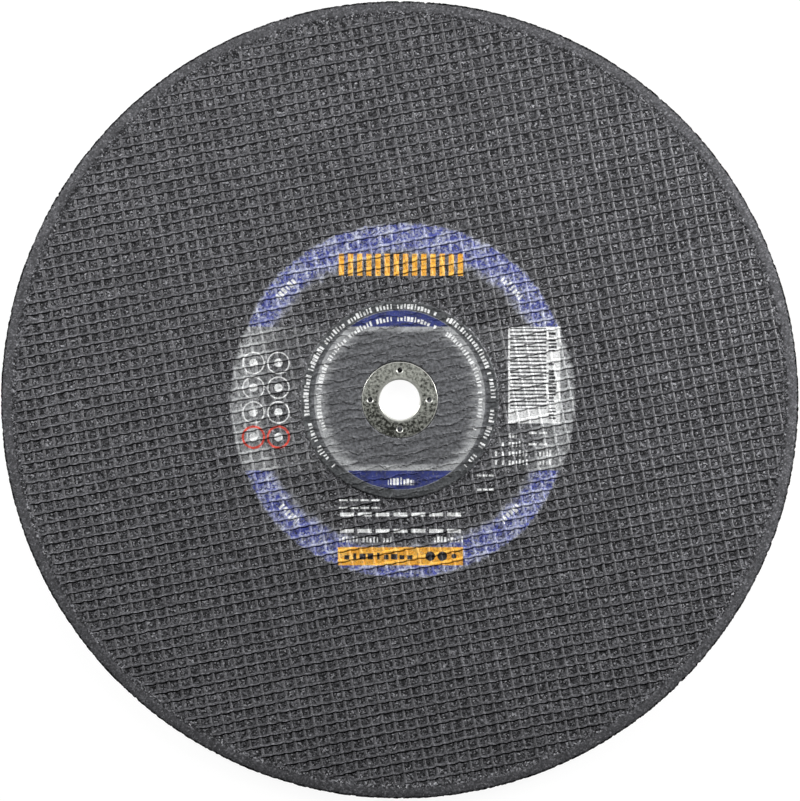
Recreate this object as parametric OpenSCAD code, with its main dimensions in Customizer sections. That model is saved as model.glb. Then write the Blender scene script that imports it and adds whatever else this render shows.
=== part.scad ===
// Flat cut-off wheel: a pressed disc of resin-bonded grit, a woven glass net in each face,
// a paper blotter round the centre and a flanged steel ring in the bore.
// The wheel lies on its back: the spin axis is Z, the printed face is up and the rear face is at Z = 0.

/* [Wheel] */
// Diameter of the wheel
wheel_d = 400; // [300:1:500]
// Thickness over both faces
wheel_t = 4.5; // [3.5:0.1:8]
// Width of the bare rim outside the net
rim_band = 5.5; // [2:0.5:15]
// Radius on the corners of the rim
rim_round = 0.4; // [0.1:0.05:0.6]

/* [Glass net] */
// Spacing of the weft threads, the rows
weft_pitch = 5.23; // [3.5:0.01:9]
// Width of a weft thread
weft_w = 2; // [1:0.1:3]
// Height of a weft thread
weft_h = 0.3; // [0.15:0.05:0.5]
// Spacing of the warp threads, the columns
warp_pitch = 5.62; // [3.5:0.01:9]
// Width of a warp thread
warp_w = 1.6; // [0.8:0.1:3]
// Height of a warp thread
warp_h = 0.25; // [0.15:0.05:0.5]
// Turn of the front net about the spin axis
front_turn = 11; // [-45:0.5:45]
// Turn of the rear net about the spin axis
rear_turn = 30; // [-45:0.5:45]
// Length of the shortest thread that the net keeps at its edge
thread_min = 16; // [8:1:40]

/* [Centre] */
// Diameter of the blotter and of the flat seat behind it
blotter_d = 99; // [70:1:160]
// Thickness of the blotter's paper
blotter_t = 0.2; // [0.1:0.05:0.4]

/* [Arbor ring] */
// Bore for the spindle
bore_d = 20; // [16:0.1:25.4]
// Diameter of the ring's flange
flange_d = 38; // [35:0.5:60]
// Thickness of the ring's sheet steel
sheet_t = 0.6; // [0.4:0.05:0.8]
// Radius where the flange turns down into the bore
mouth_round = 0.8; // [0.5:0.05:1.2]
// Radius on the upper edge of the flange
flange_round = 0.25; // [0.1:0.05:0.35]
// How far the collar stops short of the rear face
collar_short = 0.3; // [0.1:0.05:0.6]
// Number of anchor necks punched down through the flange
anchor_count = 4; // [3:1:8]
// Hole through an anchor neck
anchor_d = 2.4; // [1.5:0.1:3]
// Wall of an anchor neck
anchor_wall = 0.45; // [0.3:0.05:0.6]
// Depth of an anchor neck below the flange
anchor_depth = 1.2; // [0.5:0.1:1.5]
// Bevel round the mouth of an anchor hole
anchor_bevel = 0.5; // [0.1:0.05:0.55]

/* [Fits] */
// Clearance round the ring and its anchor necks
ring_fit = 0.03; // [0.01:0.01:0.1]
// Gap between the edge of the flange and the blotter
blotter_gap = 0.4; // [0.1:0.1:1]
// Clearance between crossing threads, and over them up to the face
thread_gap = 0.02; // [0.01:0.01:0.1]
// Clearance at the ends of the threads
thread_end = 0.2; // [0.1:0.1:1]

/* [Hidden] */
$fn = 96;
wheel_r = wheel_d / 2;
net_r = wheel_r - rim_band;
net_depth = warp_h + weft_h + 2 * thread_gap;
seat_r = blotter_d / 2;
bore_r = bore_d / 2;
collar_r = bore_r + sheet_t;
hole_r = collar_r + ring_fit;
flange_r = flange_d / 2;
flange_z = wheel_t - sheet_t;
pocket_r = flange_r + ring_fit;
pocket_z = flange_z - ring_fit;
// The anchors stand half-way across the flat of the flange
anchor_r = (collar_r + flange_r) / 2;
neck_r = anchor_d / 2 + anchor_wall;
// Length that a cut runs past the surface that it opens
over = 1;

// Half the chord of a circle of radius r at the distance d from its centre
function half_chord(r, d) = sqrt(max(0, r * r - d * d));

// What a round of radius r takes off a square corner that points to +X +Y and ends at the origin
module corner_cut(r) {
  translate([-r, -r]) difference() {
    square(r + over);
    circle(r);
  }
}

// Copies round the ring, one for each anchor
module at_anchors() {
  for (i = [0 : anchor_count - 1])
    rotate(i * 360 / anchor_count) translate([anchor_r, 0, 0]) children();
}

// Section of a flattened thread: flat underneath and crowned on top
module thread_section(w, h) {
  crown_r = (w * w / 4 + h * h) / (2 * h);
  intersection() {
    translate([0, h - crown_r]) circle(crown_r);
    translate([-w / 2, 0]) square([w, h]);
  }
}

// One thread along X at the distance y from the centre, in two lengths where it meets the seat
module thread(y, w, h) {
  outer = half_chord(net_r - thread_end, abs(y) + w / 2);
  inner = half_chord(seat_r + thread_end, max(0, abs(y) - w / 2));
  starts = inner > 0 ? [-outer, inner] : [-outer];
  run = inner > 0 ? outer - inner : 2 * outer;
  for (x = starts)
    translate([x, y, 0]) rotate([90, 0, 90]) linear_extrude(run) thread_section(w, h);
}

// All threads of one direction, laid along X and spaced along Y
module thread_set(pitch, w, h) {
  reach = half_chord(net_r - thread_end, thread_min / 2) - w / 2;
  last = floor(reach / pitch);
  for (i = [-last : last])
    thread(i * pitch, w, h);
}

// The net on a floor at Z = 0: the columns lie on the floor and the rows lie over them
module glass_net() {
  rotate(90) thread_set(warp_pitch, warp_w, warp_h);
  translate([0, 0, warp_h + thread_gap]) thread_set(weft_pitch, weft_w, weft_h);
}

module disc_section() {
  difference() {
    polygon([
      [hole_r, 0],
      [seat_r, 0],
      [seat_r, net_depth],
      [net_r, net_depth],
      [net_r, 0],
      [wheel_r, 0],
      [wheel_r, wheel_t],
      [net_r, wheel_t],
      [net_r, wheel_t - net_depth],
      [seat_r, wheel_t - net_depth],
      [seat_r, wheel_t - blotter_t],
      [pocket_r, wheel_t - blotter_t],
      [pocket_r, pocket_z],
      [hole_r, pocket_z]
    ]);
    translate([wheel_r, wheel_t]) corner_cut(rim_round);
    translate([wheel_r, 0]) mirror([0, 1]) corner_cut(rim_round);
  }
}

// The pressed grit, with a groove for each anchor neck that leaves a plug standing inside the neck
module abrasive_disc() {
  color([0.27, 0.27, 0.28]) difference() {
    rotate_extrude() disc_section();
    at_anchors() translate([0, 0, pocket_z - anchor_depth]) difference() {
      cylinder(r = neck_r + ring_fit, h = anchor_depth + over);
      translate([0, 0, -over]) cylinder(r = anchor_d / 2 - ring_fit, h = anchor_depth + 3 * over);
    }
  }
}

module front_glass_mesh() {
  color([0.42, 0.42, 0.44])
    translate([0, 0, wheel_t - net_depth]) rotate(front_turn) glass_net();
}

module rear_glass_mesh() {
  color([0.42, 0.42, 0.44])
    translate([0, 0, net_depth]) rotate([180, 0, rear_turn]) glass_net();
}

module centre_blotter() {
  color([0.38, 0.39, 0.4])
    translate([0, 0, wheel_t - blotter_t]) linear_extrude(blotter_t) difference() {
      circle(seat_r);
      circle(flange_r + blotter_gap);
    }
}

module ring_section() {
  difference() {
    polygon([
      [bore_r, collar_short],
      [collar_r, collar_short],
      [collar_r, flange_z],
      [flange_r, flange_z],
      [flange_r, wheel_t],
      [bore_r, wheel_t]
    ]);
    translate([flange_r, wheel_t]) corner_cut(flange_round);
    translate([bore_r, wheel_t]) mirror([1, 0]) corner_cut(mouth_round);
  }
}

module arbor_ring() {
  color([0.55, 0.56, 0.52]) difference() {
    union() {
      rotate_extrude() ring_section();
      at_anchors() translate([0, 0, flange_z - anchor_depth]) cylinder(r = neck_r, h = anchor_depth);
    }
    at_anchors() {
      translate([0, 0, flange_z - anchor_depth - over])
        cylinder(d = anchor_d, h = anchor_depth + sheet_t + 2 * over);
      translate([0, 0, wheel_t - anchor_bevel])
        cylinder(r1 = anchor_d / 2, r2 = anchor_d / 2 + anchor_bevel + over, h = anchor_bevel + over);
    }
  }
}

abrasive_disc();
front_glass_mesh();
rear_glass_mesh();
centre_blotter();
arbor_ring();
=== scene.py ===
import math
from functools import partial

import bmesh
import bpy
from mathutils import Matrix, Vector, noise


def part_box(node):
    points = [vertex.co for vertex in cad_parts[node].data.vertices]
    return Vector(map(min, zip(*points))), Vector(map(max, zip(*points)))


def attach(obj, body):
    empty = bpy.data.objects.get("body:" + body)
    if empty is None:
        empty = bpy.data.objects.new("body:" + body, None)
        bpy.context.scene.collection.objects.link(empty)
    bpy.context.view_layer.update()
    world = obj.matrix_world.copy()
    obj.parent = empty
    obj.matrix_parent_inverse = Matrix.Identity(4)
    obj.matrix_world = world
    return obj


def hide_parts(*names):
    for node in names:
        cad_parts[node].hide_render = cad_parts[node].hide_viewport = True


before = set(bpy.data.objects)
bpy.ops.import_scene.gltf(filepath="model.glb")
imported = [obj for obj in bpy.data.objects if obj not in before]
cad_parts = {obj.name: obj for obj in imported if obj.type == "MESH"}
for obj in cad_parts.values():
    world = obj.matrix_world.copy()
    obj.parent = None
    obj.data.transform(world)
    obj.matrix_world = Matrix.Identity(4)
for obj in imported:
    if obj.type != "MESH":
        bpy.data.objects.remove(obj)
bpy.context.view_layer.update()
scene = bpy.context.scene
mm = 0.001

# sizes that the pieces share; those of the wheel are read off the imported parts
discLow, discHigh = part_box("abrasive_disc")
netLow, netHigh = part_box("front_glass_mesh")
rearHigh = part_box("rear_glass_mesh")[1]
paperLow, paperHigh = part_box("centre_blotter")
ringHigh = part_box("arbor_ring")[1]

net = {
    "weftPitch": 5.23 * mm,
    "weftWidth": 2.0 * mm,
    "warpPitch": 5.62 * mm,
    "warpWidth": 1.6 * mm,
    "frontTurn": math.radians(11),
    "rearTurn": math.radians(30),
    "endGap": 0.2 * mm,  # clearance at the ends of the threads
}
wheel = {
    "radius": min(discHigh.x, discHigh.y, -discLow.x, -discLow.y),
    "top": discHigh.z,
    "netRadius": netHigh.x + net["endGap"],  # wall of the recess, just past the thread ends
    "floor": netLow.z,  # bottom of the front recess
    "rearFloor": rearHigh.z,  # bottom of the rear recess
    "seatRadius": paperHigh.x,
    "paperFloor": paperLow.z,
    "flangeRadius": ringHigh.x,
}


def linear(hexColour):
    parts = [int(hexColour[i:i + 2], 16) / 255 for i in (1, 3, 5)]
    return tuple(c / 12.92 if c <= 0.04045 else ((c + 0.055) / 1.055) ** 2.4 for c in parts) + (1.0,)


signs = {"+": "ADD", "-": "SUBTRACT", "*": "MULTIPLY", "/": "DIVIDE"}


# adds one node; a sign or a word in capitals is an operation of maths, or after "vector" of vector maths
# a kind without "Node" in it is a geometry node
# values fill the open sockets by place, None skips one, or by name; a node gives its first open output
def put(tree, kind, *values, **settings):
    *family, operation = kind.split()
    operation = signs.get(operation, operation)
    if operation.isupper():
        kind = "ShaderNodeVectorMath" if family else "ShaderNodeMath"
        settings["operation"] = operation
    elif "Node" not in kind:
        kind = "GeometryNode" + kind
    node = tree.nodes.new(kind)
    for name, value in settings.items():
        setattr(node, name, value)
    if values and isinstance(values[0], dict):
        pairs = [(node.inputs[name], value) for name, value in values[0].items()]
    else:
        pairs = zip([socket for socket in node.inputs if socket.enabled], values)
    for socket, value in pairs:
        if isinstance(value, bpy.types.Node):
            value = next(output for output in value.outputs if output.enabled)
        if isinstance(value, bpy.types.NodeSocket):
            tree.links.new(value, socket)
        elif value is not None:
            socket.default_value = value
    return node


rangeNode = "ShaderNodeMapRange"
mixNode = "ShaderNodeMix"
noiseNode = "ShaderNodeTexNoise"
cellNode = "ShaderNodeTexVoronoi"
chanceNode = "ShaderNodeTexWhiteNoise"
splitNode = "ShaderNodeSeparateXYZ"
joinNode = "ShaderNodeCombineXYZ"
coloursNode = "ShaderNodeSeparateColor"
turnNode = "ShaderNodeMapping"
placeNode = "ShaderNodeTexCoord"
randomNode = "FunctionNodeRandomValue"
smooth = {"interpolation_type": "SMOOTHSTEP"}
inColour = {"data_type": "RGBA"}


# a new tree, the way to add a node to it, and what it is given; sockets are listed by their kind
def newTree(name, family, given, made):
    tree = bpy.data.node_groups.new(name, family + "NodeTree")
    for way, sockets in (("INPUT", given), ("OUTPUT", made)):
        for kind, labels in sockets.items():
            for label in labels.split():
                tree.interface.new_socket(label, in_out=way, socket_type="NodeSocket" + kind)
    add = partial(put, tree)
    return tree, add, add("NodeGroupInput").outputs


# how far apart two values are
def apart(add, one, other):
    return add("ABSOLUTE", add("-", one, other))


# distance from the middle of a cell whose length is 1
def fromMiddle(add, cell):
    return apart(add, add("FRACT", cell), 0.5)


# distance from the spin axis
def spinRadius(add, place):
    return add("vector LENGTH", add("vector *", place, (1, 1, 0)))


# printed label

ink = {  # millimetres on the face, from the centre
    "ragged": (1.3, 1.0, 0.55),  # noise that frays all edges: scale, detail, reach
    "torn": (0.42, 2.0, 4.0),  # the same for the outer ring
    "patch": 0.16,  # scale of the patches where the ink is paler
    "fleck": 0.85,  # width of the flecks, as coarse as shows in the render
    "bandTop": 36.6,  # the pale band lies between these two heights
    "bandBottom": -35.4,
    "ringCentre": (1.5, -0.3),  # the print sits a little beside the bore
    "ringOuter": 88.9,
    "ringDrawnIn": 2.6,  # how much narrower the print is beside the pale band
    "ringFade": (71.0, 77.5),  # the ring's ink thins out towards the centre
    "arcFade": (62.0, 80.0),
    "haze": (48.5, 54.0, 0.0, 0.2),  # faint ink over the rest of the pale band
    "innerOuter": 45.0,
    "innerSquash": 1.05,  # the inner field is a little higher than wide
    "innerFade": (8.5, 1.0),  # how far in from its edge the inner field's ink thins out
    "panel": (54.3, -11.8, 80.5, 36.6),
    "stripes": (55.3, -4.5, 73.4, 36.0),
    "stripePitch": 1.84,
    "titleBars": (-31.5, 62.1, 32.7, 73.2),
    "titleBarPitch": 4.586,
    "lowerBar": (-31.0, -82.9, 31.7, -73.8),
    "barRow": (-28.5, -80.0, 11.0, -76.6),
    "barMarks": 10,
    "barDots": [((15.3, -78.3), 2.4), ((21.3, -78.3), 2.4), ((27.2, -78.3), 1.3)],
    "roundels": {"centre": (-67.05, -0.1), "half": (6.25, 6.2), "radius": 5.3, "line": 0.34, "redLine": 1.7,
                 "dot": 2.1},
    "markPitch": 1.7,
    "markStart": 7.0,
    "markHalf": (0.16, 0.42),  # least and most half length of a mark, shares of its pitch
    "markHeight": (0.3, 1.0),
    "markGaps": 0.14,  # share of marks left out
    "smallRows": [
        (-5.9, -42.7, 7.1, -38.9), (-31.0, -71.4, -3.4, -68.4), (15.7, -71.4, 31.7, -68.4),
        (47.5, -32.6, 77.0, -29.6), (47.5, -28.2, 78.5, -25.0), (49.5, -23.4, 61.5, -20.4),
        (52.5, -19.0, 58.5, -16.2),
    ],
    "panelRow": (74.6, -9.6, 78.6, 34.4),
    "wideRows": [  # two corners, blocks in the row, thickness of its rules
        (-31.0, -54.6, -9.4, -49.8, 4, 0.9), (-31.0, -66.6, 31.7, -56.5, 7, 1.9),
        (38.3, -45.5, 47.3, -37.4, 3, 1.0), (64.0, -22.8, 74.5, -16.0, 2, 1.1),
    ],
    "arcRows": [(47.1, 1.4, 2.36, 1.75), (40.8, 1.3, 1.95, 1.75)],  # radius, half height, half angle, pitch
    "ringMarks": (79.7, 1.7, 0.085, 2.2),
    "blue": "#434da4",
    "paleBlue": "#ccd0e4",
    "deepBlue": "#10163f",
    "midBlue": "#2b3780",
    "grey": "#aeb0b1",
    "paleGrey": "#dcdedf",
    "orange": "#fbb136",
    "amber": "#ffcb62",
    "white": "#f2f3f3",
    "dark": "#232326",
    "red": "#df4a38",
    "firmFrom": 0.85,  # inks that cover more than this in the pits hold better on the flecks
    "worn": 0.8 * mm,  # specks where the ink is worn off, in metres
}


# signed distance to an upright box given by two corners
def boxDistance(add, point, box):
    x0, y0, x1, y1 = box
    offset = add("vector ABSOLUTE", add("vector -", point, ((x0 + x1) / 2, (y0 + y1) / 2, 0)))
    gap = add(splitNode, add("vector -", offset, ((x1 - x0) / 2, (y1 - y0) / 2, 1))).outputs
    return add("MAXIMUM", gap[0], gap[1])


# signed distance to bars that repeat along a line, each reaching a share of the pitch to both sides
def barDistance(add, run, pitch, share):
    middle = fromMiddle(add, add("/", run, pitch))
    return add("*", add("-", middle, share), pitch)


# upright marks along a line, each with its own length and height, with gaps between groups
def markCells(add, run, pitch):
    cell = add("/", run, pitch)
    chance = add(chanceNode, add("FLOOR", cell), noise_dimensions="1D")
    chances = add(coloursNode, chance.outputs["Color"]).outputs
    spread = add("*", fromMiddle(add, cell), pitch)
    half = add(rangeNode, chances[0], 0, 1, *(share * pitch for share in ink["markHalf"]))
    blank = add("LESS_THAN", chances[2], ink["markGaps"])
    along = add("+", add("-", spread, half), blank)
    return along, add(rangeNode, chances[1], 0.25, 0.75, *ink["markHeight"])


# one row of such marks: how far above the row's middle a point lies, and the row's half height
def markRow(add, cells, rise, half):
    along, height = cells
    above = add("-", rise, add("*", height, half))
    below = add("-", -half, rise)
    return add("MAXIMUM", add("MAXIMUM", above, below), along)


# the same inside a box; side tells which of its corners' values lie across the row
def boxedRow(add, cells, point, across, box, side):
    low, high = box[side], box[side + 2]
    rise = add("-", across, (low + high) / 2)
    row = markRow(add, cells, rise, (high - low) / 2)
    return add("MAXIMUM", row, boxDistance(add, point, box))


def buildLabelInk():
    tree, add, inputs = newTree("labelInk", "Shader", {"Vector": "Position", "Float": "Ridge"},
                                {"Color": "Colour", "Float": "Cover"})
    ridge = inputs["Ridge"]
    flat = add("vector *", inputs["Position"], (1 / mm, 1 / mm, 0))
    shifts = []
    for scale, detail, reach in (ink["ragged"], ink["torn"]):
        stir = add("vector -", add(noiseNode, flat, scale, detail).outputs["Color"], (0.5, 0.5, 0.5))
        shifts.append(add("vector *", stir, (reach, reach, 0)))
    point = add("vector +", flat, shifts[0])
    drift = add("vector -", shifts[1], (*ink["ringCentre"], 0))
    loose = add("vector LENGTH", add("vector +", flat, drift))
    x, y = add(splitNode, point).outputs[:2]
    radius = add("vector LENGTH", point)
    angle = add("ARCTAN2", x, y)
    turned = add("ABSOLUTE", angle)
    aside = apart(add, turned, math.pi / 2)
    patchy = add(noiseNode, flat, ink["patch"], 3)

    # the outer ring, and the two ways its ink thins out
    drawnIn = add(rangeNode, aside, 0.85, 0.4, 0, ink["ringDrawnIn"], **smooth)
    fromRing = add("-", add("+", loose, drawnIn), ink["ringOuter"])
    ringEdge = add(rangeNode, fromRing, 0.6, -0.8, 0, 1)
    wander = add("+", add(rangeNode, patchy, 0.3, 0.7, -2, 2), loose)
    ringFade, arcFade = [add(rangeNode, wander, *ink[name], 0, 1, **smooth)
                         for name in ("ringFade", "arcFade")]
    arcFade = add("MAXIMUM", arcFade, add(rangeNode, wander, *ink["haze"]))
    ringInk = add("*", ringEdge, ringFade)
    arcInk = add("*", ringEdge, arcFade)

    # the inner field, whose ink holds only near its edge, in streaks along the rows of the net
    inner = ink["innerOuter"]
    oval = add("vector LENGTH", add("vector *", point, (ink["innerSquash"], 1, 0)))
    innerEdge = add(rangeNode, oval, inner + 0.25, inner - 0.25, 0, 1)
    toTop = add("*", add("-", ink["bandTop"], y), 2.4)
    toBottom = add("*", add("-", y, ink["bandBottom"]), 1.9)
    toEdge = add("MINIMUM", add("-", inner, oval), add("MINIMUM", toTop, toBottom))
    drawn = add(turnNode, {"Vector": flat, "Rotation": (0, 0, -net["frontTurn"]), "Scale": (0.09, 0.5, 1)})
    streaks = add(noiseNode, drawn, 1, 3, 0.6)
    toEdge = add("+", toEdge, add(rangeNode, streaks, 0.3, 0.7, 3.5, -3.5))
    innerFade = add(rangeNode, toEdge, *ink["innerFade"], 0, 1, **smooth)
    innerInk = add("*", innerEdge, innerFade)

    # rows of marks, straight ones first
    alongX = markCells(add, add("+", x, ink["markStart"]), ink["markPitch"])
    alongY = markCells(add, y, ink["markPitch"])
    rows = [boxedRow(add, alongX, point, y, box, 1) for box in ink["smallRows"]]
    for x0, y0, x1, y1, count, rule in ink["wideRows"]:  # pairs of rules cut into blocks
        cut = barDistance(add, add("-", x, x0), (x1 - x0) / count, 0.39)
        hollow = add("-", (y1 - y0) / 2 - rule, apart(add, y, (y0 + y1) / 2))
        cut = add("MAXIMUM", cut, hollow)
        rows.append(add("MAXIMUM", cut, boxDistance(add, point, (x0, y0, x1, y1))))

    # rows that follow the circles; the last one stands in four places
    fold = apart(add, aside, math.pi / 4)
    circles = [(*row, turned) for row in ink["arcRows"]] + [(*ink["ringMarks"], fold)]
    for middle, half, reach, pitch, bearing in circles:
        cells = markCells(add, add("*", angle, middle), pitch)
        row = markRow(add, cells, add("-", radius, middle), half)
        ends = add("*", add("-", bearing, reach), middle)
        rows.append(add("MAXIMUM", row, ends))

    # roundels in two columns, folded onto one
    roundel = ink["roundels"]
    halfX, halfY = roundel["half"]
    folded = add("vector -", point, (*roundel["centre"], 0))
    folded = add(splitNode, add("vector ABSOLUTE", folded)).outputs
    cellX = add("-", folded[0], halfX)
    cellY = add("-", apart(add, folded[1], 2 * halfY), halfY)
    reach = add("vector LENGTH", add(joinNode, cellX, cellY))
    isRed = add("LESS_THAN", y, roundel["centre"][1] - 2 * halfY)
    line = add(rangeNode, isRed, 0, 1, roundel["line"], roundel["redLine"] * roundel["line"])
    hoop = add("-", apart(add, reach, roundel["radius"]), line)
    rows.append(add("-", reach, roundel["dot"]))
    marks = rows[0]
    for row in rows[1:]:
        marks = add("MINIMUM", marks, row)

    # orange bars above and one bar below, with dark marks and dots in it
    box = ink["titleBars"]
    bars = barDistance(add, add("-", x, box[0]), ink["titleBarPitch"], 0.295)
    bars = add("MAXIMUM", boxDistance(add, point, box), bars)
    bars = add("MINIMUM", bars, boxDistance(add, point, ink["lowerBar"]))
    box = ink["barRow"]
    cells = markCells(add, add("-", x, box[0]), (box[2] - box[0]) / ink["barMarks"])
    rule = boxedRow(add, cells, point, y, box, 1)
    for place, size in ink["barDots"]:
        offset = add("vector DISTANCE", point, (*place, 0))
        rule = add("MINIMUM", rule, add("-", offset, size))

    # plain stripes on the pale panel
    stripe = barDistance(add, y, ink["stripePitch"], 0.2)
    stripe = add("MAXIMUM", stripe, boxDistance(add, point, ink["stripes"]))

    # each field is 1 inside its edge and 0 outside, and the edge is this soft
    edges = {
        "band": (boxDistance(add, point, (-200, ink["bandBottom"], 200, ink["bandTop"])), 0.25),
        "panel": (boxDistance(add, point, ink["panel"]), 0.2),
        "panelMarks": (boxedRow(add, alongY, point, x, ink["panelRow"], 0), 0.25),
        "stripe": (stripe, 0.22),
        "marks": (marks, 0.2), "hoop": (hoop, 0.2), "bars": (bars, 0.2), "rule": (rule, 0.2),
    }
    inside = {name: add(rangeNode, edge, soft, -soft, 0, 1, **smooth)
              for name, (edge, soft) in edges.items()}
    outside = add("-", 1, inside["band"])
    whiteHoop = add("*", inside["hoop"], add("-", 1, isRed))

    # layers from the first ink to the last: field, colour in the pits, colour on the ridges, cover in both
    layers = [
        (add("*", arcInk, inside["band"]), "grey", "paleGrey", 0.52, 0.86),
        (add("*", ringInk, outside), "blue", "paleBlue", 0.82, 0.88),
        (add("*", innerInk, inside["band"]), "grey", "paleGrey", 0.3, 0.5),
        (add("*", innerEdge, outside), "deepBlue", "midBlue", 0.9, 0.94),
        (inside["panel"], "white", "white", 0.9, 0.97),
        (inside["stripe"], "dark", "dark", 0.36, 0.36),
        (inside["bars"], "orange", "amber", 0.95, 0.98),
        (inside["rule"], "dark", "dark", 0.9, 0.96),
        (add("MAXIMUM", inside["marks"], whiteHoop), "white", "white", 0.9, 0.97),
        (inside["panelMarks"], "dark", "dark", 0.55, 0.65),
        (add("*", inside["hoop"], isRed), "red", "red", 0.92, 0.97),
    ]
    fleck = add(cellNode, flat, 1 / ink["fleck"], voronoi_dimensions="2D")
    flecks = add(coloursNode, fleck.outputs["Color"]).outputs
    paler = add("*", add(rangeNode, flecks[0], 0, 1, -1, 1), add(rangeNode, ridge, 0, 1, 0.55, 0.16))
    paler = add("+", paler, add(rangeNode, patchy, 0.36, 0.64, -0.08, 0.62))
    paler = add("+", paler, add("*", ridge, 0.36), use_clamp=True)
    thin = add(rangeNode, flecks[1], 0, 0.5, add(rangeNode, ridge, 0, 1, 0.1, 0.85), 1)
    firm = add(rangeNode, thin, 0, 1, 0.75, 1)
    colour, cover = None, None
    for field, pit, top, pitCover, topCover in layers:
        tone = add(mixNode, paler, linear(ink[pit]), linear(ink[top]), **inColour)
        depth = add(rangeNode, ridge, 0, 1, pitCover, topCover)
        depth = add("*", depth, firm if pitCover > ink["firmFrom"] else thin)
        if colour is None:
            colour, cover = tone, add("*", field, depth)
            continue
        colour = add(mixNode, field, colour, tone, **inColour)
        cover = add(mixNode, field, cover, depth)
    add("NodeGroupOutput", colour, cover)
    return tree


labelTree = buildLabelInk()
print("label ink group:", len(labelTree.nodes), "nodes")


# materials

def freshMaterial(name):
    material = bpy.data.materials.new(name)
    material.use_nodes = True
    material.node_tree.nodes.clear()
    return material, partial(put, material.node_tree)


# closes a material; relief lists what raises the surface, how strongly and by how many millimetres
def finishMaterial(add, relief, values):
    bump = None
    for height, strength, depth in relief:
        bump = add("ShaderNodeBump", {
            "Strength": strength, "Distance": depth * mm, "Height": height, "Normal": bump})
    shader = add("ShaderNodeBsdfPrincipled", {**values, "Normal": bump})
    add("ShaderNodeOutputMaterial", shader)


# lays the label's ink over a surface colour, worn off in specks
def inkOver(add, place, ridge, colour):
    layer = add("ShaderNodeGroup", place, ridge, node_tree=labelTree).outputs
    worn = add(noiseNode, place, 1 / ink["worn"], 2)
    hold = add(rangeNode, worn, 0.32, 0.46, 0.45, 1)
    cover = add("*", layer["Cover"], hold)
    return add(mixNode, cover, colour, layer["Colour"], **inColour)


yarn = {
    "strand": (3.0 * mm, 0.22 * mm, 0.4 * mm),  # bundles of glass strands, as fine as shows in the render
    "speck": 1.5 * mm,
    "grain": 0.6 * mm,  # grit dust pressed into the resin
    "broad": 24 * mm,
    "patch": 16 * mm,
    "patchReach": 70 * mm,  # how far the patches move the two slopes below
    "breaks": 4.5 * mm,
    "crown": (0.5 * mm, 0.1 * mm),  # depths below the face between which a thread goes from its flank tone, darkened as painted shade, to its crown tone
    "crossing": (1.0 * mm, 0.5 * mm),  # half widths of the rise over a cross thread
    "lightEaseWay": (0.85, 0.5, 0),  # the painted shade and highlight ease off more in this direction
    "lightEaseFrom": (-120 * mm, 140 * mm),
    "footShadowWay": (0.2, 1, 0),  # and the painted shadow at the foot is weaker in this one
    "footShadowFrom": (-110 * mm, 70 * mm, 0.03, 0.6),
}


# glass yarn soaked in dark phenolic resin and pressed flat: satin ridges, with painted shade down their
# flanks, a painted shadow at their feet and a painted highlight on their crests
def makeThreadResin(name, turn, crossPitch, printed, shadedFlankTone, crownTone, gloss):
    material, add = freshMaterial(name)
    place = add(placeNode).outputs["Object"]
    along = add(turnNode, {"Vector": place, "Rotation": (0, 0, -turn)})
    strands = add(turnNode, {"Vector": along, "Scale": [1 / size for size in yarn["strand"]]})
    strands = add(noiseNode, strands, 1, 2)
    speck = add(noiseNode, place, 1 / yarn["speck"], 2, 0.6)
    broad, patchy, breaks = [add(noiseNode, place, 1 / yarn[size], detail)
                             for size, detail in (("broad", 2), ("patch", 2), ("breaks", 1))]
    grainy = add(coloursNode, add(cellNode, place, 1 / yarn["grain"]).outputs["Color"])
    level = add(splitNode, place).outputs["Z"]
    crownLevels = [wheel["top"] - depth if printed else depth for depth in yarn["crown"]]
    crown = add(rangeNode, level, *crownLevels, 0, 1)
    tone = add(mixNode, crown, linear(shadedFlankTone), linear(crownTone), **inColour)
    shade = add(rangeNode, speck, 0.35, 0.65, 0.68, 1.32)
    for pattern in ((broad, 0.3, 0.7, 0.85, 1.15), (strands, 0.3, 0.7, 0.88, 1.12),
                    (grainy, 0, 1, 0.42, 1.66)):
        shade = add("*", shade, add(rangeNode, *pattern))

    # 1 on top of a cross thread, and how far the painted shade and highlight ease off, more on one side of
    # the wheel
    run = add("/", add(splitNode, along), crossPitch)
    run = fromMiddle(add, add("+", run, 0.5))
    crossing = add(rangeNode, run, *(half / crossPitch for half in yarn["crossing"]), 0, 1)
    patchy = add(rangeNode, patchy, 0.3, 0.7, -yarn["patchReach"], yarn["patchReach"])
    lightEase, higher = [add("+", add("vector DOT_PRODUCT", place, yarn[way]), patchy)
                      for way in ("lightEaseWay", "footShadowWay")]
    lightEase = add(rangeNode, lightEase, *yarn["lightEaseFrom"], 0, 1)
    footShadowLevel = add(rangeNode, higher, *yarn["footShadowFrom"])
    paintedLightKept = add("-", 1, add("*", crossing, lightEase))
    paintedLightKept = add("*", paintedLightKept, add(rangeNode, breaks, 0.36, 0.56, 0.12, 1))

    # painted light carried by the thread: below 0 a painted shadow at its foot, above 0 a painted highlight
    # on its crest
    wear = add("*", add("ShaderNodeAttribute", attribute_name="wear").outputs["Fac"], paintedLightKept)
    paintedLightMask = add(rangeNode, wear, 0, -0.4, 1, footShadowLevel)
    paintedHighlight = add(rangeNode, wear, 0.2, 0.8, 1, add(rangeNode, lightEase, 0, 1, 2.5, 1.4))
    shade = add("*", shade, add("*", paintedLightMask, paintedHighlight))
    colour = add("vector SCALE", tone, shade)
    if printed:
        colour = inkOver(add, place, crown, colour)
        # the painted shadow at the foot darkens the print as well
        colour = add("vector SCALE", colour, add(rangeNode, wear, 0, -0.4, 1, 0.45))
    finishMaterial(add, [(strands, 0.5, 0.06), (speck, 0.6, 0.1), (crossing, 1.0, 0.3)], {
        "Base Color": colour, "Roughness": 0.46, "Specular IOR Level": add("*", paintedLightMask, gloss)})
    return material


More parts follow.
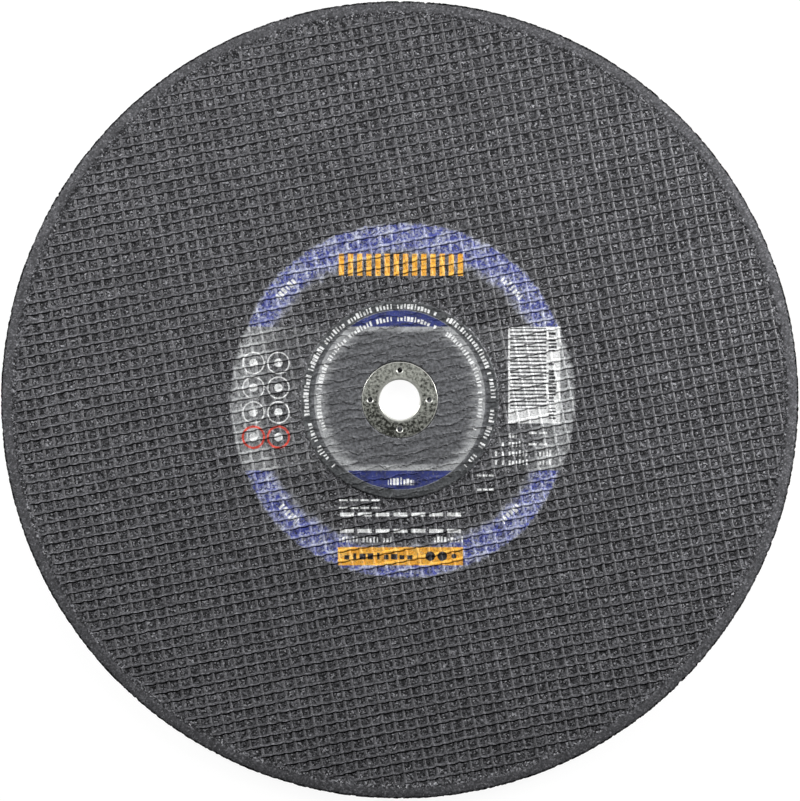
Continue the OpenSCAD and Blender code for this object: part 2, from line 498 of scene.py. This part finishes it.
grit = {
    "grainTones": [(0.35, "#232325"), (0.6, "#454547"), (0.88, "#6c6c70")],
    "grainEnds": ("#151517", "#a6a6aa"),
    "floorTones": [(0.3, "#29292b"), (0.6, "#4c4c4f"), (0.88, "#707074")],
    "floorEnds": ("#101012", "#a2a2a6"),
    "bandTone": "#515154",
    "bandEven": 0.62,  # share of the even tone in the rim band
    "grain": 0.7 * mm,
    "fine": 1.4 * mm,
    "broad": 9 * mm,
    "bandSoft": 0.4 * mm,
    "rimFray": (-0.8 * mm, 0.6 * mm),  # how far the painted rim shade wanders in and out
    "rimShade": (1.3 * mm, 0.7 * mm),  # widths of the painted rim shade where it starts and where it is full
    "wallLevels": (1.9 * mm, 1.2 * mm),  # below the face, between which the painted rim shade lightens; lower down the wall is as grey as grit
}


# the tones of single grains, chance runs from 0 to 1
def grainColour(add, chance, ends, tones):
    ramp = add("ShaderNodeValToRGB", chance)
    stops = ramp.color_ramp.elements
    stops[0].color, stops[1].color = [linear(tone) for tone in ends]
    for position, tone in tones:
        stops.new(position).color = linear(tone)
    return ramp


# crushed aluminium oxide in resin: angular grains, most of them coated dark, some with a bright broken face
def makeGritGrains():
    material, add = freshMaterial("gritGrains")
    place = add(placeNode).outputs["Object"]
    chance = add("ShaderNodeAttribute", attribute_name="grainTone").outputs["Fac"]
    tone = grainColour(add, chance, grit["grainEnds"], grit["grainTones"])
    colour = inkOver(add, place, 0.0, tone)
    finishMaterial(add, [], {"Base Color": colour, "Roughness": 0.5, "Specular IOR Level": 0.3})
    return material


# the pressed mix of grit and resin: smooth where the mould plate touched it, torn along the rim and
# darkened there with painted shade
def makePressedGrit():
    material, add = freshMaterial("pressedGrit")
    place = add(placeNode).outputs["Object"]
    radius = spinRadius(add, place)
    fine = add(noiseNode, place, 1 / grit["fine"], 2, 0.6)
    broad = add(noiseNode, place, 1 / grit["broad"], 2)
    grain = add(cellNode, place, 1 / grit["grain"])
    chance = add(coloursNode, grain.outputs["Color"])
    speckle = grainColour(add, chance, grit["floorEnds"], grit["floorTones"])
    bandFrom, bandTo = [wheel["netRadius"] + side * grit["bandSoft"] for side in (-1, 1)]
    even = add(rangeNode, radius, bandFrom, bandTo, 0, grit["bandEven"])
    tone = add(mixNode, even, speckle, linear(grit["bandTone"]), **inColour)
    shade = add("*", add(rangeNode, fine, 0.38, 0.62, 0.7, 1.26),
                add(rangeNode, broad, 0.3, 0.7, 0.88, 1.12))
    torn = add("+", radius, add(rangeNode, fine, 0.3, 0.7, *grit["rimFray"]))
    level = add(splitNode, place).outputs["Z"]
    # painted shade: the rim and the top of its wall are darkened, darkest near the face
    paintedRimShade = add(rangeNode, level, *(wheel["top"] - depth for depth in grit["wallLevels"]), 0.42, 0.04)
    edge = add(rangeNode, torn, *(wheel["radius"] - width for width in grit["rimShade"]), 1, paintedRimShade)
    shade = add("*", shade, edge)
    colour = inkOver(add, place, 0, add("vector SCALE", tone, shade))
    finishMaterial(add, [(fine, 0.7, 0.15), (chance, 0.4, 0.2)], {
        "Base Color": colour, "Roughness": 0.65, "Specular IOR Level": add("*", edge, 0.2)})
    return material


sheet = {
    "tone": "#5c5d60",
    "outerTone": "#484a4c",  # outside the inner field of the print
    "outerFrom": (44.0 * mm, 45.2 * mm),
    "streak": (9 * mm, 1.3 * mm),  # length and width of the streaks along the rows of the net
    "speck": 1.4 * mm,
    "sway": 9 * mm,
    "swayReach": 2.2 * mm,
}


# thin absorbent paper pressed over the net, grey from the resin that came through it
def makeBlotterPaper():
    material, add = freshMaterial("resinSoakedPaper")
    place = add(placeNode).outputs["Object"]
    turned = add(turnNode, {"Vector": place, "Rotation": (0, 0, -net["frontTurn"])})
    streak = add(turnNode, {"Vector": turned, "Scale": [*(1 / size for size in sheet["streak"]), 1]})
    streak = add(noiseNode, streak, 1, 3, 0.6)
    speck, sway = [add(noiseNode, place, 1 / sheet[size], detail, 0.6)
                   for size, detail in (("speck", 2), ("sway", 3))]
    shade = add("*", add(rangeNode, streak, 0.35, 0.65, 0.74, 1.26),
                add(rangeNode, speck, 0.35, 0.65, 0.54, 1.44))
    outward = add(rangeNode, spinRadius(add, place), *sheet["outerFrom"], 0, 1)
    tone = add(mixNode, outward, linear(sheet["tone"]), linear(sheet["outerTone"]), **inColour)
    colour = inkOver(add, place, 1, add("vector SCALE", tone, shade))

    # broken creases over the rows of the net
    sway = add(rangeNode, sway, 0.3, 0.7, -sheet["swayReach"], sheet["swayReach"])
    across = add("+", add(splitNode, turned).outputs["Y"], sway)
    across = add("*", across, math.pi / net["weftPitch"])
    crease = add("POWER", add("COSINE", across), 12)
    crease = add("*", crease, add(rangeNode, streak, 0.38, 0.56, 0.1, 1))
    finishMaterial(add, [(speck, 0.5, 0.12), (crease, 0.9, 0.75)], {
        "Base Color": colour, "Roughness": 0.62, "Specular IOR Level": 0.35})
    return material


steel = {
    "edgeRadius": 18.75 * mm,
    "edgeSoft": 0.2 * mm,
    "mouthRadius": 11.2 * mm,
    "mouthSoft": 0.7 * mm,
    "anchorPlace": 14.8 * mm,
    "lipRadius": 1.55 * mm,
    "lipHalf": (0.45 * mm, 0.15 * mm),  # half widths of the painted highlight on a lip: where it fades out, where it is full
    "speck": 1.5 * mm,
    "stain": 9 * mm,
    "darkerBelow": (-12 * mm, 12 * mm),  # the lower side is darker
    "stained": "#2b2c26",
    "clean": "#c2c4bb",
    # colour of the painted highlight
    "paintedHighlight": "#d2d3cc",
}


# zinc-plated sheet steel, stained and speckled by resin in the press, with painted highlight along its
# edges
def makeZincSteel():
    material, add = freshMaterial("zincPlatedSteel")
    place = add(placeNode).outputs["Object"]
    radius = spinRadius(add, place)
    speck = add(noiseNode, place, 1 / steel["speck"], 2, 0.6)
    stain = add(noiseNode, place, 1 / steel["stain"], 3)
    # darker towards the bottom of the ring
    darkerBelow = add(rangeNode, add(splitNode, place).outputs["Y"], *steel["darkerBelow"], -0.2, 0.22)
    mixed = add("+", add(rangeNode, speck, 0.36, 0.64, -0.1, 0.75),
                add(rangeNode, stain, 0.3, 0.7, -0.15, 0.25))
    mixed = add("+", mixed, darkerBelow, use_clamp=True)

    # painted highlight, also less rough there: the outer edge, the mouth of the bore and the lips of the
    # four anchors
    edgeTo = steel["edgeRadius"]
    edge = add(rangeNode, radius, edgeTo - steel["edgeSoft"], edgeTo, 0, 1)
    broken = add(rangeNode, add("+", stain, darkerBelow), 0.32, 0.42, 0.15, 1)
    edge = add("*", edge, broken)
    mouthFrom, mouthTo = [steel["mouthRadius"] + side * steel["mouthSoft"] for side in (1, -1)]
    mouth = add(rangeNode, radius, mouthFrom, mouthTo, 0, 0.85)
    sides = add(splitNode, add("vector ABSOLUTE", place)).outputs
    far, near = [add(choice, sides[0], sides[1]) for choice in ("MAXIMUM", "MINIMUM")]
    reach = add(joinNode, add("-", far, steel["anchorPlace"]), near)
    lip = apart(add, add("vector LENGTH", reach), steel["lipRadius"])
    lip = add(rangeNode, lip, *steel["lipHalf"], 0, 0.9)
    paintedLightMask = add("MAXIMUM", add("MAXIMUM", edge, mouth), lip)
    colour = add(mixNode, mixed, linear(steel["stained"]), linear(steel["clean"]), **inColour)
    colour = add(mixNode, paintedLightMask, colour, linear(steel["paintedHighlight"]), **inColour)
    finishMaterial(add, [(speck, 0.4, 0.05)], {
        "Base Color": colour, "Metallic": 0.6, "Roughness": add(rangeNode, paintedLightMask, 0, 1, 0.55, 0.34)})
    return material


# the first tone of each thread is its flank tone, darkened as painted shade
weftMaterial = makeThreadResin("resinGlassWeft", net["frontTurn"], net["warpPitch"], True, "#434346",
                               "#535356", 0.3)
warpMaterial = makeThreadResin("resinGlassWarp", net["frontTurn"] + math.pi / 2, net["weftPitch"], True,
                               "#4c4c4f", "#565659", 0.6)
rearMaterial = makeThreadResin("resinGlassRear", net["rearTurn"], net["warpPitch"], False, "#505053",
                               "#5e5e61", 0.3)
grainMaterial = makeGritGrains()
gritMaterial = makePressedGrit()
paperMaterial = makeBlotterPaper()
steelMaterial = makeZincSteel()
print("materials ready")


# geometry trees

# ends a tree: what it made as a plain mesh with its material
def finishTree(add, made, material):
    made = add("RealizeInstances", made)
    add("NodeGroupOutput", add("SetMaterial", {"Geometry": made, "Material": material}))


def newObject(name, data):
    made = bpy.data.objects.new(name, data)
    scene.collection.objects.link(made)
    return made


def showPiece(name, mesh):
    print(name, sum(len(p.vertices) - 2 for p in mesh.polygons), "triangles")
    return newObject(name, mesh)


# runs a tree on an empty mesh, with those values that it asks for, and keeps the result as a mesh
def growMesh(name, tree, values):
    host = newObject(name + "Host", bpy.data.meshes.new(name + "Host"))
    maker = host.modifiers.new("maker", "NODES")
    maker.node_group = tree
    for item in tree.interface.items_tree:
        if item.in_out == "INPUT":
            maker[item.identifier] = values[item.name]
    evaluated = host.evaluated_get(bpy.context.evaluated_depsgraph_get())
    mesh = bpy.data.meshes.new_from_object(evaluated)
    mesh.name = name
    bpy.data.objects.remove(host)
    return showPiece(name, mesh)


# each thread is the crest of a ridge whose lower half is buried in the pressed grit
threads = {
    # clear is how far the crests stay below the face, hump their rise over a cross thread
    "weft": {"height": 0.92 * mm, "clear": 0.02 * mm, "hump": 0.07 * mm, "wander": 0.45 * mm,
             "lean": 1.0, "phase": 0.0},
    "warp": {"height": 0.8 * mm, "clear": 0.11 * mm, "hump": 0.3 * mm, "wander": 0.36 * mm,
             "lean": 0.0, "phase": math.pi + 0.84},  # lowest just beside the rows' middles
    "stray": 0.8,  # shares of the wander: of a whole row, and of its scallops
    "scallop": 0.45,
    "slowSway": 34 * mm,
    "quickSway": 5.5 * mm,
    "sink": 0.32 * mm,
    "edgeSink": 3.5 * mm,  # lengths over which the ends sink at the rim and at the seat
    "seatSink": 3 * mm,
    "shortest": 8 * mm,
    "footShade": 3.4,  # how much painted shade the foot and the heel of a leaning thread get
    "heelShade": 0.24,
    "footSpread": 0.16,
    "backDrop": -0.24,
}


# parallel threads of one direction across the ring between the seat and the rim band
def buildThreadTree():
    tree, add, inputs = newTree("threadSet", "Geometry", {
        "Float": "pitch crossPitch width height hump phase netRadius seatRadius "
                 "shortest step wander lean sink seed",
        "Vector": "place turn", "Material": "material"}, {"Geometry": "Geometry"})
    halfWidth = add("*", inputs["width"], 0.5)
    netSquare, seatSquare, shortSquare = [add("POWER", inputs[length], 2)
                                          for length in ("netRadius", "seatRadius", "shortest")]
    reach = add("-", add("SQRT", add("-", netSquare, shortSquare)), halfWidth)
    last = add("FLOOR", add("/", reach, inputs["pitch"]))
    count = add("+", add("*", last, 8), 4)

    # four points for each row: start and end of its right part, start and end of its left part
    index = add("InputIndex")
    row = add("-", add("FLOOR", add("/", index, 4)), last)
    isLeft = add("GREATER_THAN", add("MODULO", index, 4), 1.5)
    isEnd = add("MODULO", index, 2)
    chance = add(chanceNode, add("+", row, inputs["seed"]), noise_dimensions="1D")
    stray = add(rangeNode, chance, 0, 1, -threads["stray"], threads["stray"])
    stray = add("*", add("*", stray, inputs["wander"]), inputs["lean"])
    y = add("+", add("*", row, inputs["pitch"]), stray)
    away = add("ABSOLUTE", y)
    far = add("POWER", add("+", away, halfWidth), 2)
    outer = add("SQRT", add("-", netSquare, far))
    near = add("MAXIMUM", add("-", away, halfWidth), 0)
    hidden = add("-", seatSquare, add("POWER", near, 2))
    isSplit = add("GREATER_THAN", hidden, 0)
    inner = add("SQRT", add("MAXIMUM", hidden, 0))
    minusOuter, minusInner = [add("*", length, -1) for length in (outer, inner)]
    start = add(mixNode, isLeft, add(mixNode, isSplit, minusOuter, inner), minusOuter)
    end = add(mixNode, isLeft, outer, add(mixNode, isSplit, minusOuter, minusInner))
    spot = add(joinNode, add(mixNode, isEnd, start, end), y)
    points = add("Points", count, spot)
    pair = add("FLOOR", add("/", index, 2))
    lines = add("PointsToCurves", points, pair, isEnd)
    empty = add("LESS_THAN", add("SplineLength"), inputs["shortest"])
    lines = add("DeleteGeometry", lines, empty, domain="CURVE")
    lines = add("ResampleCurve", {"Curve": lines, "Length": inputs["step"]}, mode="LENGTH")

    # waviness in the plane, humps where the cross threads lie, and a little change of thickness
    spot = add("InputPosition")
    slow, quick = [add(noiseNode, spot, inputs["seed"], 1 / threads[size], detail, noise_dimensions="4D")
                   for size, detail in (("slowSway", 2), ("quickSway", 1))]
    sway = add("+", add(rangeNode, slow, 0.25, 0.75, -1, 1), add(rangeNode, quick, 0.25, 0.75, -0.45, 0.45))
    sway = add("*", sway, inputs["wander"])
    wave = add("/", add(splitNode, spot), inputs["crossPitch"])
    wave = add("COSINE", add("+", add("*", wave, 2 * math.pi), inputs["phase"]))
    scallop = add("*", wave, inputs["wander"])
    sway = add("+", sway, add("*", scallop, threads["scallop"]))
    rise = add("*", add("*", add("-", wave, 1), 0.5), inputs["hump"])
    radius = add("vector LENGTH", spot)
    fromEdge = add("-", inputs["netRadius"], radius)
    fromSeat = add("-", radius, inputs["seatRadius"])
    drop = add(rangeNode, quick, 0.3, 0.7, 0.5, 0)
    ends = [add(rangeNode, gap, threads[length], 0, 0, most, **smooth)
            for gap, length, most in ((fromEdge, "edgeSink", 1), (fromSeat, "seatSink", 0.5))]
    drop = add("+", add("+", *ends), drop)
    rise = add("-", rise, add("*", drop, inputs["sink"]))
    lines = add("SetPosition", {"Geometry": lines, "Offset": add(joinNode, 0, sway, rise)})
    thick = add(rangeNode, slow, 0.3, 0.7, 0.72, 1)
    lines = add("SetCurveRadius", {"Curve": lines, "Radius": thick})
    lines = add("SetCurveNormal", lines, mode="Z_UP")

    # section with six corners, flat above and below; the curve's frame has its second axis downwards
    section = add("CurvePrimitiveCircle", 6, 1, mode="RADIUS")
    side, up = add(splitNode, add("InputPosition")).outputs[:2]
    isFoot = add("GREATER_THAN", side, 0.9)
    isCrest = add("COMPARE", add("-", side, 0.5), 0, 0.1)
    isHeel = add("LESS_THAN", side, -0.9)
    # painted light on the corners: painted shadow at the foot and heel, painted highlight at the crest
    wear = add("+", add("*", isFoot, threads["footShade"]), add("*", isHeel, threads["heelShade"]))
    wear = add("*", add("-", isCrest, wear), inputs["lean"])
    section = {"Geometry": section, "Name": "wear", "Value": wear}
    section = add("StoreNamedAttribute", section, data_type="FLOAT", domain="POINT")

    # a leaning thread has its back drawn out and its foot undercut
    flatAt = math.sin(math.pi / 3)
    high = add("/", add("ABSOLUTE", up), flatAt)
    spread = add("+", add("*", side, add(rangeNode, high, 0, 1, 0, -0.5)), 0.5)
    spread = add("+", spread, add("*", isFoot, threads["footSpread"]))
    spread = add("*", spread, inputs["lean"])
    isBack = add("LESS_THAN", side, 0)
    fall = add("*", inputs["lean"], threads["backDrop"])
    lower = add("*", add("*", isBack, up), fall)
    section = add("SetPosition", {"Geometry": section, "Offset": add(joinNode, spread, lower)})
    halfHeight = add("*", inputs["height"], -0.5 / flatAt)
    section = add("Transform", {"Geometry": section, "Scale": add(joinNode, halfWidth, halfHeight, 1)})
    made = add("CurveToMesh", {"Curve": lines, "Profile Curve": section, "Fill Caps": True})
    made = add("Transform", made, inputs["place"], inputs["turn"])
    made = add("SetShadeSmooth", made)
    finishTree(add, made, inputs["material"])
    return tree


grains = {
    "count": 86000,
    "size": 0.48 * mm,
    "spread": (0.65, 1.25),  # least and most share of that size
    "foot": 0.62,  # a grain is a cone with three sides: its radius, height and place, in sizes
    "depth": 0.8,
    "sunk": -0.2,
    "rowClear": 0.36,  # shares of a thread's width that are kept free of grains
    "columnClear": 0.4,
    "edgeClear": 0.5 * mm,
    "tumble": 6.283,  # most turn about each axis
    "seed": 21,
}


# loose-looking angular grains in the pits between the threads
def buildGrainTree():
    tree, add, inputs = newTree("pitGrains", "Geometry", {
        "Int": "count seed",
        "Float": "size innerRadius outerRadius height turn rowPitch rowClear columnPitch columnClear",
        "Material": "material"}, {"Geometry": "Geometry"})
    seeds = [inputs["seed"]] + [add("+", inputs["seed"], step) for step in (1, 2, 3, 4)]
    innerSquare, outerSquare = [add("POWER", inputs[length], 2)
                                for length in ("innerRadius", "outerRadius")]
    ranges = ((innerSquare, outerSquare, 0), (0, 2 * math.pi, 1), (0, 1, 2), (*grains["spread"], 4))
    away, bearing, tone, size = [add(randomNode, low, high, None, seeds[step], data_type="FLOAT")
                                 for low, high, step in ranges]
    tumble = add(randomNode, (0, 0, 0), [grains["tumble"]] * 3, None, seeds[3], data_type="FLOAT_VECTOR")
    away = add("SQRT", away)
    u, v = [add("*", away, add(wave, bearing)) for wave in ("COSINE", "SINE")]
    points = add("Points", inputs["count"], add(joinNode, u, v, inputs["height"]))
    points = {"Geometry": points, "Name": "grainTone", "Value": tone}
    points = add("StoreNamedAttribute", points, data_type="FLOAT", domain="POINT")

    # only the open pits keep their grains
    spot = add(splitNode, add("InputPosition")).outputs
    covered = []
    for place, lines in ((spot[0], "column"), (spot[1], "row")):
        cell = add("/", place, inputs[lines + "Pitch"])
        gap = fromMiddle(add, add("+", cell, 0.5))
        gap = add("*", gap, inputs[lines + "Pitch"])
        covered.append(add("LESS_THAN", gap, inputs[lines + "Clear"]))
    under = add("MAXIMUM", *covered)
    points = add("DeleteGeometry", points, under, domain="POINT")
    turn = add(joinNode, 0, 0, inputs["turn"])
    points = add("Transform", points, None, turn)
    cone = {"Vertices": 3, "Radius Top": 0, "Radius Bottom": grains["foot"], "Depth": grains["depth"]}
    grain = add("MeshCone", cone, fill_type="NGON")
    grain = add("Transform", grain, (0, 0, grains["sunk"]))
    size = add("*", size, inputs["size"])
    made = add("InstanceOnPoints", {"Points": points, "Instance": grain, "Rotation": tumble, "Scale": size})
    finishTree(add, made, inputs["material"])
    return tree


threadTree = buildThreadTree()
grainTree = buildGrainTree()


def growThreads(name, isWeft, isFront, steps, seed, material):
    kind, cross = ("weft", "warp") if isWeft else ("warp", "weft")
    thread = threads[kind]
    depth = thread["clear"] + 0.5 * thread["height"]
    turn = net["frontTurn" if isFront else "rearTurn"] + (0.0 if isWeft else math.pi / 2)
    return growMesh(name, threadTree, {
        **threads, **thread, "pitch": net[kind + "Pitch"], "width": net[kind + "Width"],
        "crossPitch": net[cross + "Pitch"], "step": net[cross + "Pitch"] / steps,
        "netRadius": netHigh.x, "seatRadius": wheel["seatRadius"] + net["endGap"],
        "place": (0, 0, wheel["top"] - depth if isFront else depth),
        "turn": (0 if isFront else math.pi, 0, turn), "seed": seed, "material": material})


frontWeft = growThreads("front_weft_threads", True, True, 4, 3.0, weftMaterial)
frontWarp = growThreads("front_warp_threads", False, True, 4, 11.0, warpMaterial)
frontGrains = growMesh("front_pit_grit", grainTree, {
    **grains, "height": wheel["floor"], "turn": net["frontTurn"],
    "innerRadius": wheel["seatRadius"] + grains["edgeClear"],
    "outerRadius": wheel["netRadius"] - grains["edgeClear"],
    "rowPitch": net["weftPitch"], "rowClear": grains["rowClear"] * net["weftWidth"],
    "columnPitch": net["warpPitch"], "columnClear": grains["columnClear"] * net["warpWidth"],
    "material": grainMaterial})


# lathed pieces

# turns a closed outline of (radius, height) round the spin axis
def lathe(outline, segments):
    shape = bmesh.new()
    rings = []
    for k in range(segments):
        a = 2 * math.pi * k / segments
        rings.append([shape.verts.new((r * math.cos(a), r * math.sin(a), z)) for r, z in outline])
    for k in range(segments):
        here, there = rings[k], rings[(k + 1) % segments]
        for i in range(len(outline)):
            j = (i + 1) % len(outline)
            shape.faces.new((here[i], there[i], there[j], here[j]))
    bmesh.ops.recalc_face_normals(shape, faces=shape.faces)
    return shape


def keepPiece(name, shape, material):
    mesh = bpy.data.meshes.new(name)
    shape.to_mesh(mesh)
    shape.free()
    mesh.materials.append(material)
    mesh.polygons.foreach_set("use_smooth", [True] * len(mesh.polygons))
    return showPiece(name, mesh)


disc = {
    "segments": 1260,
    "hole": 10.63 * mm,
    "pocketGap": 0.03 * mm,
    "pocketDepth": 0.63 * mm,
    "rimRound": 0.4 * mm,
    "rimSteps": 5,
    "bandSteps": 4,
    "wallSteps": 6,
    "climb": [  # from the rim band down to the floor: millimetres in, share of the height
        (0.0, 1.0), (0.3, 0.93), (0.8, 0.74), (1.5, 0.45), (2.3, 0.18), (3.2, 0.03), (4.5, 0.0)],
    "seatClimb": [(4.0, 0.0), (2.4, 0.14), (1.0, 0.4), (0.0, 0.6)],  # and up again to the seat
    "rimTear": 1.9 * mm,
    "rimTearMost": 0.9 * mm,
    "rimTearWidth": 1.2 * mm,
    "rimFall": 0.45 * mm,  # the band falls away towards the rim
    "climbFrom": 7 * mm,  # the climb is uneven from this far inside the band to just over its edge
    "climbOver": 0.5 * mm,
    "climbUneven": (0.1 * mm, 2.6 * mm),  # depth and size
    "chips": (5, 2.4 * mm, 3),  # strength, size and power of the tears
    "crumbs": (0.5, 0.9 * mm, 1.5),
    "brinkDrop": 0.05 * mm,
}


# noise at a place: its strength, the size of its patches and the power that sharpens them
def uneven(place, strength, size, power=1):
    return strength * abs(noise.noise(place / size)) ** power


def makeDisc():
    top, rim, lower, floor = wheel["top"], wheel["radius"], wheel["rearFloor"], wheel["floor"]
    seat, edge, hole = wheel["seatRadius"], wheel["netRadius"], disc["hole"]
    pocket, pocketFloor = wheel["flangeRadius"] + disc["pocketGap"], top - disc["pocketDepth"]
    bend = disc["rimRound"]
    outline = [(hole, 0), (seat, 0), (seat, lower), (edge, lower), (edge, 0)]
    flats = [edge + (rim - bend - edge) * i / disc["bandSteps"] for i in range(1, disc["bandSteps"])]
    outline += [(r, 0) for r in flats]
    quarter = [math.pi / 2 * i / disc["rimSteps"] for i in range(disc["rimSteps"] + 1)]
    outline += [(rim - bend + bend * math.sin(a), bend - bend * math.cos(a)) for a in quarter]
    outline += [(rim, bend + (top - 2 * bend) * i / disc["wallSteps"]) for i in range(1, disc["wallSteps"])]
    outline += [(rim - bend + bend * math.cos(a), top - bend + bend * math.sin(a)) for a in quarter]
    outline += [(r, top) for r in reversed(flats)]
    outline += [(edge - d * mm, floor + (top - floor) * h) for d, h in disc["climb"]]
    outline += [(seat + d * mm, floor + (top - floor) * h) for d, h in disc["seatClimb"]]
    outline += [(seat, wheel["paperFloor"]), (pocket, wheel["paperFloor"]), (pocket, pocketFloor),
                (hole, pocketFloor)]
    shape = lathe(outline, disc["segments"])
    for vert in shape.verts:  # the rim is torn, the climb only a little uneven
        away = math.hypot(vert.co.x, vert.co.y)
        inBand = away >= edge + disc["climbOver"]
        if away < edge - disc["climbFrom"] or vert.co.z < 0.5 * top and not inBand:
            continue
        if not inBand:
            vert.co.z -= uneven(vert.co, *disc["climbUneven"])
            continue
        if vert.co.z > 0.5 * top:
            vert.co.z -= disc["rimFall"] * ((away - edge) / (rim - edge)) ** 2
        rough = uneven(vert.co, *disc["chips"]) + uneven(vert.co, *disc["crumbs"])
        share = max(0.0, (away - (rim - disc["rimTearWidth"])) / disc["rimTearWidth"])
        cut = min(disc["rimTear"] * rough, disc["rimTearMost"]) * share
        vert.co.x *= 1 - cut / away
        vert.co.y *= 1 - cut / away
        if top - vert.co.z < bend:
            vert.co.z -= disc["brinkDrop"] * rough
    return keepPiece("pressed_grit_disc", shape, gritMaterial)


paper = {
    "rings": 44,
    "segments": 420,
    "ripple": 0.17 * mm,
    "gap": 0.4 * mm,
    "sway": (0.8 * mm, 11 * mm),  # how far the ripples stray from the rows, and over what length
    "strength": (0.55, 0.9, 7 * mm),  # of the ripples: mean, change, and the size of its patches
    "bumps": (0.25, 2.2 * mm),
    "deepest": 0.9,  # share of the paper's thickness
}


def makeBlotter():
    inner, outer = wheel["flangeRadius"] + paper["gap"], wheel["seatRadius"]
    top, low = wheel["top"], wheel["paperFloor"]
    radii = [inner + (outer - inner) * i / paper["rings"] for i in range(paper["rings"] + 1)]
    shape = lathe([(r, top) for r in radii] + [(outer, low), (inner, low)], paper["segments"])
    turn = net["frontTurn"]
    swayReach, swaySize = paper["sway"]
    mean, change, patchSize = paper["strength"]
    for vert in shape.verts:  # the rows of the net show through as soft ripples
        if vert.co.z < top - 0.01 * mm:
            continue
        across = vert.co.y * math.cos(turn) - vert.co.x * math.sin(turn)
        sway = swayReach * noise.noise(vert.co / swaySize)
        row = 1 - math.cos(math.pi * (across + sway) / net["weftPitch"]) ** 6
        strength = mean + change * noise.noise(vert.co / patchSize)
        dip = max(0.0, row * max(0.0, strength)) + uneven(vert.co, *paper["bumps"])
        vert.co.z -= min(paper["ripple"] * dip, paper["deepest"] * (top - low))
    return keepPiece("paper_blotter", shape, paperMaterial)


pressedDisc = makeDisc()
blotter = makeBlotter()

# rear net: the same threads at a coarser step, turned over
rearWeft = growThreads("rear_weft_threads", True, False, 2, 31.0, rearMaterial)
rearWarp = growThreads("rear_warp_threads", False, False, 2, 37.0, rearMaterial)

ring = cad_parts["arbor_ring"]
ring.data.materials.clear()
ring.data.materials.append(steelMaterial)


# what stands for what
for piece, node, slot in (
        (frontWeft, "front_glass_mesh", "glass_net"), (frontWarp, "front_glass_mesh", "glass_net"),
        (rearWeft, "rear_glass_mesh", "glass_net"), (rearWarp, "rear_glass_mesh", "glass_net"),
        (pressedDisc, "abrasive_disc", "grit"), (frontGrains, "abrasive_disc", "grit"),
        (blotter, "centre_blotter", "blotter")):
    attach(piece, "root")
    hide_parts(node)


# floor, light and camera

stage = {
    "floorSize": 4.0,
    "floorLevel": -0.05 * mm,
    "floorColour": "#f4f4f4",
    "whiteShare": 0.9,  # share of plain white in what the camera sees of the floor
    "whiteLevel": 1.05,
    "skyLevel": 0.05,
    "lights": {  # place, width and height, power
        "topSoftbox": ((0.1, 0.74, 0.46), (1.1, 0.3), 2.9),
        "rightSoftbox": ((0.64, 0.22, 0.11), (0.16, 0.6), 12.0),
        "leftSoftbox": ((-0.7, 0.38, 0.26), (0.24, 0.6), 9.5),
    },
}


# white paper: seen almost evenly white, with only a trace of the wheel's shadow
def makeFloor():
    half = stage["floorSize"] / 2
    mesh = bpy.data.meshes.new("floor")
    level = stage["floorLevel"]
    corners = [(-half, -half, level), (half, -half, level), (half, half, level), (-half, half, level)]
    mesh.from_pydata(corners, [], [(0, 1, 2, 3)])
    material, add = freshMaterial("paperWhiteFloor")
    seen = add("ShaderNodeLightPath").outputs
    direct = add("MAXIMUM", seen["Is Camera Ray"], seen["Is Glossy Ray"])
    direct = add("MAXIMUM", direct, seen["Is Transmission Ray"])
    share = add("*", direct, stage["whiteShare"])
    matt = add("ShaderNodeBsdfDiffuse", linear(stage["floorColour"]))
    white = add("ShaderNodeEmission", (1, 1, 1, 1), stage["whiteLevel"])
    add("ShaderNodeOutputMaterial", add("ShaderNodeMixShader", share, matt, white))
    mesh.materials.append(material)
    floor = newObject("floor", mesh)


def makeLight(name, place, size, power):
    lamp = bpy.data.lights.new(name, "AREA")
    lamp.shape = "RECTANGLE"
    lamp.size, lamp.size_y = size
    lamp.energy = power
    light = newObject(name, lamp)
    light.location = place
    light.rotation_euler = (-Vector(place)).to_track_quat("-Z", "Y").to_euler()


def makeWorld():
    world = bpy.data.worlds.new("studio")
    world.use_nodes = True
    world.node_tree.nodes.clear()
    add = partial(put, world.node_tree)
    seen = add("ShaderNodeLightPath").outputs["Is Camera Ray"]
    level = add(rangeNode, seen, 0, 1, stage["skyLevel"], 1)
    add("ShaderNodeOutputWorld", add("ShaderNodeBackground", (1, 1, 1, 1), level))
    scene.world = world


# the photo's frame is 800 by 801 and the wheel fills it but for a pixel or two
view = {"width": 800, "height": 801, "wheelCentre": (399.75, 399.83), "wheelRadius": 398.76,
        "distance": 2.2, "sensor": 36}


def makeCamera():
    pixel = wheel["radius"] / view["wheelRadius"]
    camera = bpy.data.cameras.new("camera")
    camera.sensor_width = view["sensor"]
    longSide = max(view["width"], view["height"])
    camera.lens = camera.sensor_width * view["distance"] / (pixel * longSide)
    shiftX = (view["width"] / 2 - view["wheelCentre"][0]) * pixel
    shiftY = (view["wheelCentre"][1] - view["height"] / 2) * pixel
    eye = newObject("camera", camera)
    eye.location = (shiftX, shiftY, wheel["top"] / 2 + view["distance"])
    scene.camera = eye


makeFloor()
for lightName, settings in stage["lights"].items():
    makeLight(lightName, *settings)
makeWorld()
makeCamera()
scene.view_settings.view_transform = "Standard"
print("stage ready")
